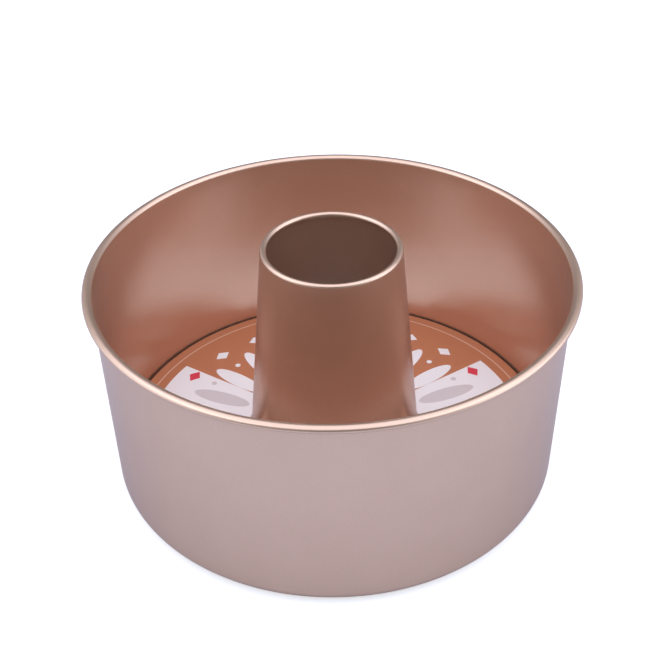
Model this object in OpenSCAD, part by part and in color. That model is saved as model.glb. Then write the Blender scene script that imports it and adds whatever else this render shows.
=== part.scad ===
// Angel food cake pan in two pieces: a ring with a rolled rim, and a base with a chimney tube
// that lifts out of it. The base lies on the ledge that the ring's foot turns in, and a loose
// printed card lies on the base round the tube.
// Z is up. The origin is at the centre of the ring's underside, where the pan stands.

/* [Ring] */
// Diameter over the rolled rim
rim_d = 250; // [220:1:280]
// Height of the ring with its rim
ring_h = 115; // [90:0.5:140]
// Lean of the wall, outwards on its way up, in degrees
wall_lean = 0.8; // [0:0.1:5]
// Thickness of the ring's sheet
ring_t = 0.8; // [0.6:0.05:1.2]
// Outer radius where the wall turns in at the foot
foot_r = 7; // [4:0.5:12]
// Width of the ledge's flat part, which carries the base
ledge_w = 8; // [6:0.5:12]

/* [Rolled rim] */
// Width across the roll, which is pressed a little flat
rim_roll_w = 5; // [4.6:0.1:7]
// Diameter of the wire inside the rolled rim
wire_d = 2; // [1.6:0.1:3]
// Clearance between the wire and the sheet rolled round it
wire_gap = 0.05; // [0.02:0.01:0.2]
// Slit left between the roll's edge and the wall that it is tucked against
tuck_gap = 0.1; // [0.05:0.05:0.4]

/* [Base] */
// Thickness of the base's sheet
base_t = 0.8; // [0.6:0.05:1.2]
// Clearance round the base's edge, inside the ring's foot
base_gap = 0.4; // [0.3:0.05:1]
// Width of the base's edge outside its pressed step
seat_w = 9.5; // [7:0.5:14]
// Rise of the pressed step, which stiffens the base
step_h = 6.6; // [3:0.2:9]
// Width that the step's slope takes
step_run = 3.4; // [2:0.2:6]
// Radius of the step's inside bends
step_bend = 1; // [0.5:0.1:1.6]

/* [Tube] */
// Height of the tube's mouth above the surface that the pan stands on
tube_h = 127; // [100:1:150]
// Diameter over the tube's mouth
mouth_d = 72; // [50:0.5:90]
// Lean of the tube, inwards on its way up, in degrees
tube_lean = 5.2; // [0:0.1:10]
// Thickness of the tube's sheet
tube_t = 0.8; // [0.6:0.05:1.2]
// Diameter of the inward roll round the mouth
mouth_roll_d = 3.3; // [2.8:0.1:6]

/* [Seam between tube and base] */
// Width of the tube's flange under the base
flange_w = 5; // [3:0.5:8]
// Outside radius where the tube turns into its flange
flange_bend = 0.6; // [0.3:0.1:1.2]
// How far the swaged bead stands out of the tube, above the base
bead_out = 1.2; // [0.8:0.1:2]
// Height of the swaged bead
bead_h = 4; // [3:0.2:6]
// Clearance between the base's sheet and the flange and bead that clinch it
seam_gap = 0.04; // [0.02:0.01:0.1]

/* [Card] */
// Thickness of the card
card_t = 0.6; // [0.3:0.1:1.2]
// Clearance between the card's edge and the wall
card_gap = 1.2; // [0.3:0.1:3]
// Clearance between the card's hole and the bead on the tube
card_hole_gap = 0.5; // [0.4:0.1:3]

/* [Hidden] */
$fn = 96;

// Largest turn of one step along an arc, in degrees
arc_step = 9;

// Half the width and half the height of the rolled rim's section, and the section's centre
rim_roll_rx = rim_roll_w / 2;
rim_roll_ry = wire_d / 2 + wire_gap + ring_t;
rim_roll = [rim_d / 2 - rim_roll_rx, ring_h - rim_roll_ry];

// Inner face of the wall: where it runs into the rolled rim, and where it meets the ledge's plane
rim_roll_start = 180 - atan(rim_roll_ry / rim_roll_rx * tan(wall_lean));
wall_top = rim_roll + [rim_roll_rx * cos(rim_roll_start), rim_roll_ry * sin(rim_roll_start)];
wall_foot = [wall_top[0] - (wall_top[1] - ring_t) * tan(wall_lean), ring_t];
// Where the ledge's flat part begins, and its inner edge
heel_r = wall_foot[0] - (foot_r - ring_t) * tan((90 - wall_lean) / 2);
ledge_r = heel_r - ledge_w;

// Top of the base's edge, which lies on the ledge, and of its raised middle
seat_z = ring_t + base_t;
field_z = seat_z + step_h;
base_r = heel_r - base_gap;
step_r = base_r - seat_w;

// Centre of the mouth roll's section, and where that roll leaves the tube's outer face
mouth_roll_r = mouth_roll_d / 2;
mouth_roll = [mouth_d / 2 - mouth_roll_r, tube_h - mouth_roll_r];
tube_top = mouth_roll + mouth_roll_r * [cos(tube_lean), sin(tube_lean)];
// Planes of the flange's top face and of the bead's lower edge
flange_z = field_z - base_t - seam_gap;
bead_z = field_z + seam_gap;
base_hole_r = tube_r(flange_z) + flange_bend + seam_gap;

// The card lies on the raised middle of the base
card_r = wall_r(field_z) - card_gap;
card_hole_r = tube_r(field_z) + bead_out + card_hole_gap;

// Radius of the tube's outer face at a height
function tube_r(z) = tube_top[0] + (tube_top[1] - z) * tan(tube_lean);

// Radius of the wall's inner face at a height, also within the foot's bend
function wall_r(z) =
    let (
        bend_r = foot_r - ring_t,
        centre_z = ring_t + bend_r,
        straight_z = centre_z - bend_r * sin(wall_lean)
    )
    z >= straight_z
        ? wall_foot[0] + (z - ring_t) * tan(wall_lean)
        : heel_r + sqrt(max(0, bend_r * bend_r - (centre_z - z) * (centre_z - z)));

function unit(v) = v / norm(v);

// Points of an oval arc round a centre, from one angle to another
function oval(centre, rx, ry, from, to) =
    let (steps = max(1, ceil(abs(to - from) / arc_step)))
    [for (i = [0:steps])
        let (a = from + (to - from) * i / steps)
        centre + [rx * cos(a), ry * sin(a)]];

function arc(centre, r, from, to) = oval(centre, r, r, from, to);

// Arc of radius r that rounds the corner b of the line a-b-c
function rounding(a, b, c, r) =
    let (
        u = unit(a - b),
        v = unit(c - b),
        half = acos(max(-1, min(1, u * v))) / 2,
        centre = b + unit(u + v) * r / sin(half),
        p = b + u * r / tan(half) - centre,
        q = b + v * r / tan(half) - centre,
        from = atan2(p[1], p[0]),
        turn = atan2(p[0] * q[1] - p[1] * q[0], p * q)
    )
    arc(centre, r, from, from + turn);

// Line through corners [x, y, radius], each corner rounded with its radius
function rounded(corners) =
    let (last = len(corners) - 1)
    [for (i = [0:last])
        let (b = [corners[i][0], corners[i][1]], r = corners[i][2])
        each (r == 0 || i == 0 || i == last
            ? [b]
            : rounding([corners[i - 1][0], corners[i - 1][1]], b,
                       [corners[i + 1][0], corners[i + 1][1]], r))];

// Full roll of a sheet's edge: from its start angle round until the edge, on the roll's
// outside, is one slit short of the sheet that it comes from; dir 1 is anticlockwise
function roll(centre, rx, ry, t, start, dir) =
    let (tuck = acos((rx - t - tuck_gap) / rx))
    oval(centre, rx, ry, start, start + dir * (360 - tuck));

// Line parallel to a line, at distance d on its left side
function parallel(line, d) =
    let (last = len(line) - 1)
    [for (i = [0:last])
        let (
            before = unit(line[max(i, 1)] - line[max(i, 1) - 1]),
            after = unit(line[min(i + 1, last)] - line[min(i, last - 1)]),
            mid = unit(before + after)
        )
        line[i] + d / (mid * after) * [-mid[1], mid[0]]];

// Outline of a sheet of thickness t that follows a line, on the line's left side
function sheet(line, t) =
    let (back = parallel(line, t))
    concat(line, [for (i = [len(back) - 1:-1:0]) back[i]]);

// Drawn wall with its rolled rim, and the ledge turned in at its foot
module pan_ring() {
    inner_face = rounded([
        [ledge_r, ring_t, 0],
        [wall_foot[0], wall_foot[1], foot_r - ring_t],
        [wall_top[0], wall_top[1], 0]
    ]);
    rolled_rim = roll(rim_roll, rim_roll_rx, rim_roll_ry, ring_t, rim_roll_start, -1);
    color("rosybrown")
        rotate_extrude()
            polygon(sheet(concat(inner_face, [for (i = [1:len(rolled_rim) - 1]) rolled_rim[i]]),
                          -ring_t));
}

// Wire that the rim is rolled over, which keeps the ring round
module rim_wire() {
    color("silver")
        rotate_extrude()
            translate(rim_roll)
                circle(d = wire_d, $fn = 32);
}

// Loose bottom: an edge that lies on the ledge, a pressed step and a raised middle
module base_disc() {
    step_top_r = step_r - step_run;
    top_face = rounded([
        [base_r, seat_z, 0],
        [step_r, seat_z, step_bend],
        [step_top_r, field_z, step_bend + base_t],
        [base_hole_r, field_z, 0]
    ]);
    color("tan")
        rotate_extrude()
            polygon(sheet(top_face, base_t));
}

// Drawn chimney: a flange under the base, a swaged bead above it, and a mouth rolled inwards
module centre_tube() {
    flange_r = tube_r(flange_z) + flange_w;
    bead_mid_z = bead_z + bead_h / 2;
    bead_top_z = bead_z + bead_h;
    outer_face = rounded([
        [flange_r, flange_z, 0],
        [tube_r(flange_z), flange_z, flange_bend],
        [tube_r(bead_z), bead_z, 0],
        [tube_r(bead_mid_z) + bead_out, bead_mid_z, bead_out],
        [tube_r(bead_top_z), bead_top_z, 0],
        [tube_top[0], tube_top[1], 0]
    ]);
    rolled_mouth = roll(mouth_roll, mouth_roll_r, mouth_roll_r, tube_t, tube_lean, 1);
    color("sienna")
        rotate_extrude()
            polygon(sheet(concat(outer_face,
                                 [for (i = [1:len(rolled_mouth) - 1]) rolled_mouth[i]]),
                          tube_t));
}

// Loose printed card, a flat ring round the tube
module label_card() {
    color("peru")
        translate([0, 0, field_z])
            difference() {
                cylinder(h = card_t, r = card_r);
                translate([0, 0, -card_t])
                    cylinder(h = 3 * card_t, r = card_hole_r);
            }
}

pan_ring();
rim_wire();
base_disc();
centre_tube();
label_card();
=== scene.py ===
import math

import bpy
from mathutils import Matrix, Vector


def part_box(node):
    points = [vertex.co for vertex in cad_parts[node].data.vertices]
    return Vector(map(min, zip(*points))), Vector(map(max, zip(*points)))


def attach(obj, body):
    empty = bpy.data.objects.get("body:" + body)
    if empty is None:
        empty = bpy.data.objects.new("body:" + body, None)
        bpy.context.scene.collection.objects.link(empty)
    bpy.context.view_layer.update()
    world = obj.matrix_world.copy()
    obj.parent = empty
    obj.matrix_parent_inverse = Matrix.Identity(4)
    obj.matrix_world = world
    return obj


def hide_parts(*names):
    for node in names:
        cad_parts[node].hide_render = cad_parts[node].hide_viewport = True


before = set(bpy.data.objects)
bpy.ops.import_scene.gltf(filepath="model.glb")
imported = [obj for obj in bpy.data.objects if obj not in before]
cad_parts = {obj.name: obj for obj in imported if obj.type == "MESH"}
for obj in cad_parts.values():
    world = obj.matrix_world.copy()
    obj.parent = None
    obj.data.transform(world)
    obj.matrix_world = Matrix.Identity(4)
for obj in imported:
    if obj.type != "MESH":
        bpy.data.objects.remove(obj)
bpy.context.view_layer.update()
scene = bpy.context.scene


# Ring of the pan: one drawn band of coated steel sheet that leans slightly outwards. Its foot
# is turned in to a ledge that carries the loose base, and its top edge is rolled outwards over
# a wire, with the edge of the sheet tucked against the wall.
ring_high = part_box("pan_ring")[1]
SHEET = 0.0008
RIM_R = ring_high[0]
RING_H = ring_high[2]
RIM_ROLL_RX = 0.0025
RIM_ROLL_RY = 0.00185
WALL_LEAN = math.radians(0.8)
FOOT_R = 0.007
LEDGE_W = 0.008
TUCK = 0.0001
ROLL_STEPS = 40
EDGE_WEAR = 0.00012


def oval(centre, rx, ry, start, end, steps):
    """Points (radius, height) along an oval arc, with its angles in radians."""
    angles = [start + (end - start) * i / steps for i in range(steps + 1)]
    return [Vector((centre[0] + rx * math.cos(a), centre[1] + ry * math.sin(a))) for a in angles]


def roll(centre, rx, ry, start, turn):
    """A rolled edge: nearly a full turn, until its edge is tucked against its own sheet."""
    tuck_angle = math.acos((rx - SHEET - TUCK) / rx)
    end = start + turn * (2 * math.pi - tuck_angle)
    return oval(centre, rx, ry, start, end, ROLL_STEPS)[1:]


def bent(corners, steps=8):
    """Line through corners (radius, height, bend radius), each corner bent round its radius."""
    places = [Vector(corner[:2]) for corner in corners]
    line = [places[0]]
    for before, corner, after, (_, _, bend) in zip(places, places[1:], places[2:], corners[1:]):
        if bend == 0:
            line.append(corner)
            continue
        to_before = (before - corner).normalized()
        to_after = (after - corner).normalized()
        half = to_before.angle(to_after) / 2
        centre = corner + (to_before + to_after).normalized() * bend / math.sin(half)
        first = corner + to_before * bend / math.tan(half) - centre
        last = corner + to_after * bend / math.tan(half) - centre
        start = math.atan2(first.y, first.x)
        line += oval(centre, bend, bend, start, start - first.angle_signed(last), steps)
    return line + [places[-1]]


def turned_sheet(name, line, thickness, around=288, longest=0.008):
    """Sheet metal spun round Z: a circle drawn along a line of (radius, height), then walled."""
    bpy.ops.object.select_all(action="DESELECT")
    start_r, start_z = line[0]
    bpy.ops.mesh.primitive_circle_add(vertices=around, radius=start_r, location=(0, 0, start_z))
    piece = bpy.context.object
    piece.name = name
    piece.data.name = name
    bpy.ops.object.transform_apply(location=True, rotation=False, scale=False)
    bpy.ops.object.mode_set(mode="EDIT")
    bpy.ops.mesh.select_all(action="SELECT")
    for start, end in zip(line, line[1:]):
        steps = math.ceil((end - start).length / longest)
        for i in range(steps):
            r0, z0 = start.lerp(end, i / steps)
            r1, z1 = start.lerp(end, (i + 1) / steps)
            bpy.ops.mesh.extrude_region_move(TRANSFORM_OT_translate={"value": (0, 0, z1 - z0)})
            bpy.ops.transform.resize(value=(r1 / r0, r1 / r0, 1), center_override=(0, 0, z1))
    bpy.ops.mesh.select_all(action="SELECT")
    bpy.ops.mesh.normals_make_consistent(inside=False)
    bpy.ops.object.mode_set(mode="OBJECT")
    # Every line starts on a face that looks up, so the wall's thickness goes down from there
    first_band = min(piece.data.polygons, key=lambda face: abs(face.center.xy.length - start_r)
                     + abs(face.center.z - start_z))
    if first_band.normal.z < 0:
        bpy.ops.object.mode_set(mode="EDIT")
        bpy.ops.mesh.flip_normals()
        bpy.ops.object.mode_set(mode="OBJECT")
    bpy.ops.object.modifier_add(type="SOLIDIFY")
    wall = piece.modifiers[-1]
    wall.thickness = thickness
    wall.offset = -1
    wall.use_even_offset = True
    bpy.ops.object.modifier_apply(modifier=wall.name)
    bpy.ops.object.shade_smooth()
    # The cut edges of the sheet are broken a little, as tumbling and the coating leave them
    bpy.ops.object.modifier_add(type="BEVEL")
    broken = piece.modifiers[-1]
    broken.width = EDGE_WEAR
    broken.segments = 2
    broken.limit_method = "ANGLE"
    broken.angle_limit = math.radians(60)
    broken.harden_normals = True
    bpy.ops.object.modifier_apply(modifier=broken.name)
    return piece


rim_roll = Vector((RIM_R - RIM_ROLL_RX, RING_H - RIM_ROLL_RY))
roll_start = math.pi - math.atan(RIM_ROLL_RY / RIM_ROLL_RX * math.tan(WALL_LEAN))
wall_top = rim_roll + Vector((RIM_ROLL_RX * math.cos(roll_start),
                              RIM_ROLL_RY * math.sin(roll_start)))
wall_foot_r = wall_top.x - (wall_top.y - SHEET) * math.tan(WALL_LEAN)
heel_r = wall_foot_r - (FOOT_R - SHEET) * math.tan((math.pi / 2 - WALL_LEAN) / 2)
ring_line = bent([(heel_r - LEDGE_W, SHEET, 0), (wall_foot_r, SHEET, FOOT_R - SHEET),
                  (*wall_top, 0)], steps=14)
ring_line += roll(rim_roll, RIM_ROLL_RX, RIM_ROLL_RY, roll_start, -1)
pan_ring = turned_sheet("pan_ring_sheet", ring_line, SHEET)


def math_node(tree, operation, *values):
    """One Math node whose inputs are sockets or numbers; gives its output socket."""
    node = tree.nodes.new("ShaderNodeMath")
    node.operation = operation
    for socket, value in zip(node.inputs, values):
        if isinstance(value, (int, float)):
            socket.default_value = value
        else:
            tree.links.new(value, socket)
    return node.outputs[0]


def build_surface_noise():
    """Node group for every finish here: noise on Object coordinates, counted to the metre."""
    group = bpy.data.node_groups.new("surface_noise", "ShaderNodeTree")
    for name, value in (("Per Metre", 1000), ("Detail", 2)):
        socket = group.interface.new_socket(name=name, in_out="INPUT",
                                            socket_type="NodeSocketFloat")
        socket.default_value = value
    group.interface.new_socket(name="Value", in_out="OUTPUT", socket_type="NodeSocketFloat")
    given = group.nodes.new("NodeGroupInput")
    result = group.nodes.new("NodeGroupOutput")
    place = group.nodes.new("ShaderNodeTexCoord")
    noise = group.nodes.new("ShaderNodeTexNoise")
    group.links.new(place.outputs["Object"], noise.inputs["Vector"])
    group.links.new(given.outputs["Per Metre"], noise.inputs["Scale"])
    group.links.new(given.outputs["Detail"], noise.inputs["Detail"])
    group.links.new(noise.outputs["Fac"], result.inputs["Value"])
    return group


surface_noise = build_surface_noise()


def noise_node(tree, per_metre, detail):
    """The shared noise group, placed in a material with its own values."""
    node = tree.nodes.new("ShaderNodeGroup")
    node.node_tree = surface_noise
    node.inputs["Per Metre"].default_value = per_metre
    node.inputs["Detail"].default_value = detail
    return node.outputs["Value"]


def new_finish(name):
    """An empty finish: its material, its node tree and its shader."""
    material = bpy.data.materials.new(name)
    material.use_nodes = True
    tree = material.node_tree
    return material, tree, tree.nodes["Principled BSDF"]


LIGHT_BRONZE = (0.79, 0.562, 0.435)
DARK_BRONZE = (0.72, 0.5, 0.38)
GRAZING_TINT = (0.75, 0.75, 0.8)
METAL_SHARE = 0.85
FLAKES_PER_METRE = 2600
FLAKE_SHARE = 0.75
CLOUDS_PER_METRE = 45
GRAINS_PER_METRE = 1500
COATING_ROUGHNESS = 0.3
ROUGHNESS_SPREAD = 0.04


def rose_bronze_coating(name):
    """Sprayed metallic non-stick coating: fine flake, faint cloudiness and an eggshell grain."""
    material, tree, shader = new_finish(name)
    shader.inputs["Metallic"].default_value = METAL_SHARE
    shader.inputs["Specular Tint"].default_value = (*GRAZING_TINT, 1)
    flake = noise_node(tree, FLAKES_PER_METRE, 2)
    cloud = noise_node(tree, CLOUDS_PER_METRE, 3)
    tint = math_node(tree, "ADD", math_node(tree, "MULTIPLY", flake, FLAKE_SHARE),
                     math_node(tree, "MULTIPLY", cloud, 1 - FLAKE_SHARE))
    ramp = tree.nodes.new("ShaderNodeValToRGB")
    ramp.color_ramp.elements[0].position = 0.3
    ramp.color_ramp.elements[0].color = (*DARK_BRONZE, 1)
    ramp.color_ramp.elements[1].position = 0.7
    ramp.color_ramp.elements[1].color = (*LIGHT_BRONZE, 1)
    tree.links.new(tint, ramp.inputs["Fac"])
    tree.links.new(ramp.outputs["Color"], shader.inputs["Base Color"])
    tree.links.new(math_node(tree, "MULTIPLY_ADD", cloud, ROUGHNESS_SPREAD,
                             COATING_ROUGHNESS - ROUGHNESS_SPREAD / 2),
                   shader.inputs["Roughness"])
    grain = tree.nodes.new("ShaderNodeBump")
    grain.inputs["Strength"].default_value = 0.12
    grain.inputs["Distance"].default_value = 0.0001
    tree.links.new(noise_node(tree, GRAINS_PER_METRE, 1), grain.inputs["Height"])
    tree.links.new(grain.outputs["Normal"], shader.inputs["Normal"])
    return material


coating = rose_bronze_coating("rose_bronze_coating")
pan_ring.data.materials.append(coating)
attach(pan_ring, "ring")
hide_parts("pan_ring")


# Rim wire: a hoop of bare drawn steel that the rim is rolled over. It shows only through the
# slit under the roll, so the construction model's own hoop stays and gets a steel finish.
BARE_STEEL = (0.56, 0.56, 0.57)
DRAW_MARKS_PER_METRE = 900
STEEL_ROUGHNESS = 0.25
DRAW_MARK_ROUGHNESS = 0.15


def drawn_steel(name):
    """Bright wire, a little duller where the drawing die marked it."""
    material, tree, shader = new_finish(name)
    shader.inputs["Base Color"].default_value = (*BARE_STEEL, 1)
    shader.inputs["Metallic"].default_value = 1
    draw_marks = noise_node(tree, DRAW_MARKS_PER_METRE, 2)
    tree.links.new(math_node(tree, "MULTIPLY_ADD", draw_marks, DRAW_MARK_ROUGHNESS,
                             STEEL_ROUGHNESS),
                   shader.inputs["Roughness"])
    return material


rim_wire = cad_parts["rim_wire"]
rim_wire.data.materials.clear()
rim_wire.data.materials.append(drawn_steel("drawn_steel_wire"))


# Chimney tube: drawn from the same sheet. A flange under the base and a swaged bead above it
# hold the base's sheet between them, and the mouth is rolled inwards to a smooth lip.
tube_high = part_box("centre_tube")[1]
FIELD_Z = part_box("base_disc")[1][2]
TUBE_H = tube_high[2]
MOUTH_R = 0.036
MOUTH_ROLL_R = 0.00165
TUBE_LEAN = math.radians(5.2)
FLANGE_BEND = 0.0006
BEAD_OUT = 0.0012
BEAD_H = 0.004
SEAM_GAP = 0.00004
mouth_roll = Vector((MOUTH_R - MOUTH_ROLL_R, TUBE_H - MOUTH_ROLL_R))
tube_top = mouth_roll + MOUTH_ROLL_R * Vector((math.cos(TUBE_LEAN), math.sin(TUBE_LEAN)))


def tube_r(z):
    """Radius of the tube's outer face at a height."""
    return tube_top.x + (tube_top.y - z) * math.tan(TUBE_LEAN)


flange_z = FIELD_Z - SHEET - SEAM_GAP
bead_z = FIELD_Z + SEAM_GAP
bead_mid_z = bead_z + BEAD_H / 2
bead_top_z = bead_z + BEAD_H
tube_line = bent([(tube_high[0], flange_z, 0), (tube_r(flange_z), flange_z, FLANGE_BEND),
                  (tube_r(bead_z), bead_z, 0),
                  (tube_r(bead_mid_z) + BEAD_OUT, bead_mid_z, BEAD_OUT),
                  (tube_r(bead_top_z), bead_top_z, 0), (*tube_top, 0)])
tube_line += roll(mouth_roll, MOUTH_ROLL_R, MOUTH_ROLL_R, TUBE_LEAN, 1)
centre_tube = turned_sheet("centre_tube_sheet", tube_line, SHEET, around=192)
centre_tube.data.materials.append(coating)
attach(centre_tube, "base")
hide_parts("centre_tube")


# Base: a loose disc of the same coated sheet. Its edge lies on the ring's ledge, a pressed
# step lifts and stiffens its middle, and the hole in that is clinched to the tube's foot.
base_low, base_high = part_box("base_disc")
BASE_R = base_high[0]
SEAT_Z = base_low[2] + SHEET
SEAT_W = 0.0095
STEP_RUN = 0.0034
STEP_BEND = 0.001
step_foot_r = BASE_R - SEAT_W
base_hole_r = tube_r(flange_z) + FLANGE_BEND + SEAM_GAP
base_line = bent([(BASE_R, SEAT_Z, 0), (step_foot_r, SEAT_Z, STEP_BEND),
                  (step_foot_r - STEP_RUN, FIELD_Z, STEP_BEND + SHEET), (base_hole_r, FIELD_Z, 0)])
base_disc = turned_sheet("base_disc_sheet", base_line, SHEET)
base_disc.data.materials.append(coating)
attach(base_disc, "base")
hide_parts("base_disc")


# Printed card: a flat ring of thin board, cut to lie loose on the base round the tube. Its back
# half is printed with a fan of pale and copper rays, and its front half is deep copper inside a
# pale ring. Long petals, dots and lozenges go round the hole, inside a copper band.
card_low, card_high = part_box("label_card")
CARD_R = card_high[0]
CARD_T = card_high[2] - card_low[2]
CARD_HOLE_GAP = 0.0005
card_hole_r = tube_r(FIELD_Z) + BEAD_OUT + CARD_HOLE_GAP
label_card = turned_sheet("label_card_board", bent([(card_hole_r, card_high[2], 0),
                                                    (CARD_R, card_high[2], 0)]), CARD_T)


def mask_below(tree, value, limit, soft):
    """1 where a value is under a limit, 0 where it is over, with a soft edge between."""
    step = tree.nodes.new("ShaderNodeMapRange")
    step.inputs["From Min"].default_value = limit - soft
    step.inputs["From Max"].default_value = limit + soft
    step.inputs["To Min"].default_value = 1
    step.inputs["To Max"].default_value = 0
    tree.links.new(value, step.inputs["Value"])
    return step.outputs["Result"]


def mix_colour(tree, mask, under, over):
    """Lay one colour over another through a mask."""
    mix = tree.nodes.new("ShaderNodeMix")
    mix.data_type = "RGBA"
    tree.links.new(mask, mix.inputs["Factor"])
    for socket, value in ((mix.inputs[6], under), (mix.inputs[7], over)):
        if isinstance(value, tuple):
            socket.default_value = (*value, 1)
        else:
            tree.links.new(value, socket)
    return mix.outputs[2]


COPPER = (0.54, 0.2, 0.093)
DEEP_COPPER = (0.17, 0.06, 0.03)
APRICOT = (0.8, 0.56, 0.43)
PALE = (0.95, 0.93, 0.94)
GREY = (0.7, 0.65, 0.66)
RED = (0.75, 0.045, 0.08)
BOARD = (0.62, 0.58, 0.53)
BOARD_ROUGHNESS = 0.45
FIBRES_PER_METRE = 1200
PRINT_EDGE = 0.00012
HORIZON = math.radians(3.2)
RAY_EDGES = (math.radians(33.2), math.radians(63.2))
RAY_SOFT = 0.002
FRONT_EDGE = 0.0985
REPEAT = math.radians(15)
PETAL_AT, PETAL_HALF_W, PETAL_HALF_L = 0.0705, 0.005, 0.0175
DOT_AT, DOT_R = 0.0815, 0.0016
LOZENGE_AT, LOZENGE_HALF_W, LOZENGE_HALF_L = 0.0955, 0.005, 0.0036
BAND_W = 0.0115
LINE_HALF_W = 0.0003


def printed_board(name):
    """Matt print on thin board, drawn from distances and angles round the card's middle."""
    material, tree, shader = new_finish(name)
    shader.inputs["Roughness"].default_value = BOARD_ROUGHNESS
    place = tree.nodes.new("ShaderNodeTexCoord")
    split = tree.nodes.new("ShaderNodeSeparateXYZ")
    tree.links.new(place.outputs["Object"], split.inputs[0])
    x, y = split.outputs["X"], split.outputs["Y"]

    def squared(value):
        return math_node(tree, "MULTIPLY", value, value)

    out = math_node(tree, "SQRT", math_node(tree, "ADD", squared(x), squared(y)))
    turn = math_node(tree, "ARCTAN2", y, x)

    def across(offset):
        """Distance to the side of the nearest ray of the pattern."""
        cell = math_node(tree, "FLOORED_MODULO", math_node(tree, "ADD", turn, offset), REPEAT)
        return math_node(tree, "MULTIPLY", out, math_node(tree, "SUBTRACT", cell, REPEAT / 2))

    def share(value, middle, half):
        """How far a value is from a middle, as a share of half a width."""
        return math_node(tree, "DIVIDE", math_node(tree, "SUBTRACT", value, middle), half)

    def oval_mark(offset, radius, half_wide, half_long):
        reach = math_node(tree, "ADD", squared(share(across(offset), 0, half_wide)),
                          squared(share(out, radius, half_long)))
        return mask_below(tree, reach, 1, 2 * PRINT_EDGE / half_wide)

    def lozenge(offset, radius, half_wide, half_long):
        reach = math_node(tree, "ADD",
                          math_node(tree, "ABSOLUTE", share(across(offset), 0, half_wide)),
                          math_node(tree, "ABSOLUTE", share(out, radius, half_long)))
        return mask_below(tree, reach, 1, PRINT_EDGE / half_long)

    # Pale, copper and pale rays from the sides to the back, all above a low horizon
    rise = math_node(tree, "ARCTAN2", y, math_node(tree, "ABSOLUTE", x))
    front = mix_colour(tree, mask_below(tree, out, FRONT_EDGE, PRINT_EDGE), PALE, DEEP_COPPER)
    colour, other, accent = PALE, GREY, COPPER
    for edge, under, over, mark in ((RAY_EDGES[1], COPPER, PALE, PALE),
                                    (RAY_EDGES[0], PALE, GREY, RED),
                                    (HORIZON, front, APRICOT, APRICOT)):
        below = mask_below(tree, rise, edge, RAY_SOFT)
        colour = mix_colour(tree, below, colour, under)
        other = mix_colour(tree, below, other, over)
        accent = mix_colour(tree, below, accent, mark)
    petals = oval_mark(0, PETAL_AT, PETAL_HALF_W, PETAL_HALF_L)
    colour = mix_colour(tree, petals, colour, other)
    dots = oval_mark(REPEAT / 2, DOT_AT, DOT_R, DOT_R)
    colour = mix_colour(tree, dots, colour, other)
    marks = lozenge(REPEAT / 2, LOZENGE_AT, LOZENGE_HALF_W, LOZENGE_HALF_L)
    colour = mix_colour(tree, marks, colour, accent)
    # Copper band round the edge, with a fine apricot line along it
    inside = mask_below(tree, out, CARD_R - BAND_W, PRINT_EDGE)
    colour = mix_colour(tree, inside, COPPER, colour)
    off_line = math_node(tree, "ABSOLUTE", math_node(tree, "SUBTRACT", out, CARD_R - BAND_W / 2))
    fine_line = mask_below(tree, off_line, LINE_HALF_W, PRINT_EDGE)
    colour = mix_colour(tree, fine_line, colour, APRICOT)
    # Bare board on the edge and underneath
    facing = tree.nodes.new("ShaderNodeSeparateXYZ")
    tree.links.new(place.outputs["Normal"], facing.inputs[0])
    colour = mix_colour(tree, mask_below(tree, facing.outputs["Z"], 0.5, 0.1), colour, BOARD)
    tree.links.new(colour, shader.inputs["Base Color"])
    fibre = tree.nodes.new("ShaderNodeBump")
    fibre.inputs["Strength"].default_value = 0.08
    fibre.inputs["Distance"].default_value = 0.0001
    tree.links.new(noise_node(tree, FIBRES_PER_METRE, 3), fibre.inputs["Height"])
    tree.links.new(fibre.outputs["Normal"], shader.inputs["Normal"])
    return material


label_card.data.materials.append(printed_board("printed_card_board"))
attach(label_card, "card")
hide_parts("label_card")


# Studio floor: white seamless paper, no part of the pan. It is white to the camera far out, and
# glows less near the pan, so that the pan's soft shadow shows on it. The metal mirrors it dim.
FLOOR_W = 8
FLOOR_DROP = 0.0003
PAPER_COLOUR = (0.54, 0.573, 0.67)
PAPER_SEEN = 0.6
PAPER_MIRRORED = 0.05
NEAR, FAR = 0.5, 1.5
bpy.ops.object.select_all(action="DESELECT")
bpy.ops.mesh.primitive_plane_add(size=FLOOR_W, location=(0, 0, -FLOOR_DROP))
floor = bpy.context.object
floor.name = "studio_floor"
paper, paper_tree, paper_shader = new_finish("white_paper")
paper_shader.inputs["Base Color"].default_value = (*PAPER_COLOUR, 1)
paper_shader.inputs["Roughness"].default_value = 1
paper_shader.inputs["Specular IOR Level"].default_value = 0
paper_shader.inputs["Emission Color"].default_value = (1, 1, 1, 1)
seen_by = paper_tree.nodes.new("ShaderNodeLightPath")
mirrored = math_node(paper_tree, "MAXIMUM", seen_by.outputs["Is Glossy Ray"],
                     seen_by.outputs["Is Transmission Ray"])
floor_place = paper_tree.nodes.new("ShaderNodeTexCoord")
from_pan = paper_tree.nodes.new("ShaderNodeVectorMath")
from_pan.operation = "LENGTH"
paper_tree.links.new(floor_place.outputs["Object"], from_pan.inputs[0])
close_by = mask_below(paper_tree, from_pan.outputs["Value"], (NEAR + FAR) / 2, (FAR - NEAR) / 2)
seen_white = math_node(paper_tree, "MULTIPLY_ADD", close_by, PAPER_SEEN - 1, 1)
glow = math_node(paper_tree, "ADD",
                 math_node(paper_tree, "MULTIPLY", seen_by.outputs["Is Camera Ray"], seen_white),
                 math_node(paper_tree, "MULTIPLY", mirrored, PAPER_MIRRORED))
paper_tree.links.new(glow, paper_shader.inputs["Emission Strength"])
floor.data.materials.append(paper)


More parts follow.
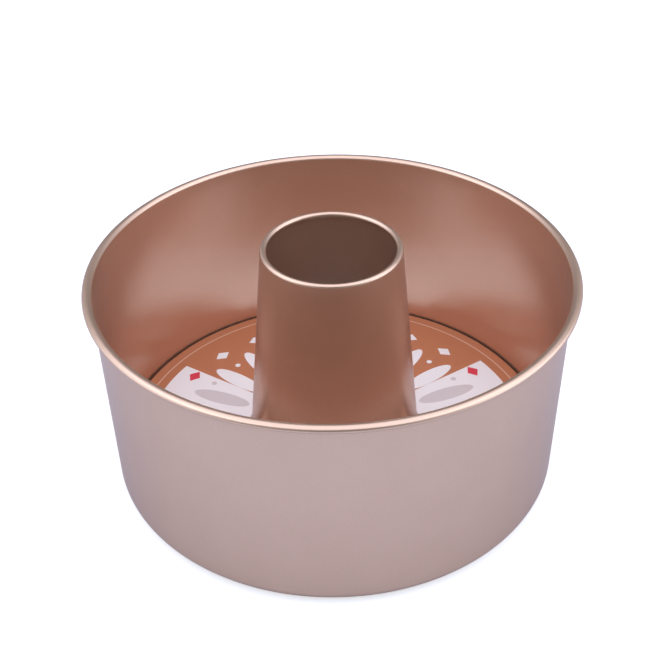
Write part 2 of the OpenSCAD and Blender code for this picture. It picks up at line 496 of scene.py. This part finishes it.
# Studio air: white to the camera. The metal mirrors it bright and cool at the sides, and dim in
# front and behind, and matt things get an even light from it.
AIR_MATT = 0.42
AIR_FRONT = 0.12
AIR_SIDES = 0.95
AIR_BACK = 0.1
COOL_SIDE = (0.88, 0.98, 1.14)
studio = bpy.data.worlds.new("studio_air")
scene.world = studio
studio.use_nodes = True
air = studio.node_tree
air_light = air.nodes["Background"]
air_path = air.nodes.new("ShaderNodeLightPath")
air_place = air.nodes.new("ShaderNodeTexCoord")
air_split = air.nodes.new("ShaderNodeSeparateXYZ")
air.links.new(air_place.outputs["Generated"], air_split.inputs[0])
to_side = math_node(air, "MULTIPLY", air_split.outputs["X"], air_split.outputs["X"])
to_back = math_node(air, "MAXIMUM", air_split.outputs["Y"], 0)
air_mirrored = math_node(air, "SUBTRACT", AIR_FRONT,
                         math_node(air, "ADD",
                                   math_node(air, "MULTIPLY", to_side, AIR_FRONT - AIR_SIDES),
                                   math_node(air, "MULTIPLY", to_back, AIR_FRONT - AIR_BACK)))
by_mirror = math_node(air, "MAXIMUM", air_path.outputs["Is Glossy Ray"],
                      air_path.outputs["Is Transmission Ray"])
# Matt light, then what the metal sees, then what the camera sees, each over the one before
air_level = math_node(air, "MULTIPLY_ADD", by_mirror,
                      math_node(air, "SUBTRACT", air_mirrored, AIR_MATT), AIR_MATT)
air_level = math_node(air, "MAXIMUM", air_level, air_path.outputs["Is Camera Ray"])
air.links.new(air_level, air_light.inputs["Strength"])
cool = math_node(air, "MULTIPLY", to_side, by_mirror)
air.links.new(mix_colour(air, cool, (1.0, 1.0, 1.0), COOL_SIDE), air_light.inputs["Color"])


# Soft boxes: a large one above the pan, a little to the left, and one high at each side, the
# right one brighter. They burn a little cooler than white.
BOX_COLOUR = (0.955, 1.0, 1.185)
PAN_MIDDLE = (0, 0, 0.08)


def soft_box(name, place, aim, size, power):
    """A square lamp at a place, turned to its aim."""
    lamp = bpy.data.lights.new(name, "AREA")
    lamp.shape = "SQUARE"
    lamp.size = size
    lamp.energy = power
    lamp.color = BOX_COLOUR
    holder = bpy.data.objects.new(name, lamp)
    holder.location = place
    holder.rotation_euler = (Vector(aim) - Vector(place)).to_track_quat("-Z", "Y").to_euler()
    scene.collection.objects.link(holder)


soft_box("overhead_box", place=(-0.18, 0, 1.3), aim=(-0.18, 0, 0.1), size=2.2, power=20)
soft_box("right_box", place=(1.2, -0.1, 0.85), aim=PAN_MIDDLE, size=1.4, power=7)
soft_box("left_box", place=(-1.2, -0.1, 0.85), aim=PAN_MIDDLE, size=1.4, power=4.6)


# Camera: at the photograph's height and distance, on the axis of the pan
CAMERA_DISTANCE = 0.60338
CAMERA_HEIGHT_ANGLE = math.radians(37.874)
AIM_HEIGHT = 0.05
LOOK_UP = math.radians(1.806)
TILT = math.radians(1.06)
LENS = 60.448
SENSOR_W = 36
camera_data = bpy.data.cameras.new("photo_camera")
camera_data.lens = LENS
camera_data.sensor_width = SENSOR_W
camera_data.clip_start = 0.01
camera = bpy.data.objects.new("photo_camera", camera_data)
scene.collection.objects.link(camera)
place = Vector((0, -CAMERA_DISTANCE * math.cos(CAMERA_HEIGHT_ANGLE),
                AIM_HEIGHT + CAMERA_DISTANCE * math.sin(CAMERA_HEIGHT_ANGLE)))
turn = (Matrix.Rotation(math.pi / 2 - CAMERA_HEIGHT_ANGLE + LOOK_UP, 4, "X")
        @ Matrix.Rotation(-TILT, 4, "Z"))
camera.matrix_world = Matrix.Translation(place) @ turn
scene.camera = camera
scene.view_settings.view_transform = "Standard"
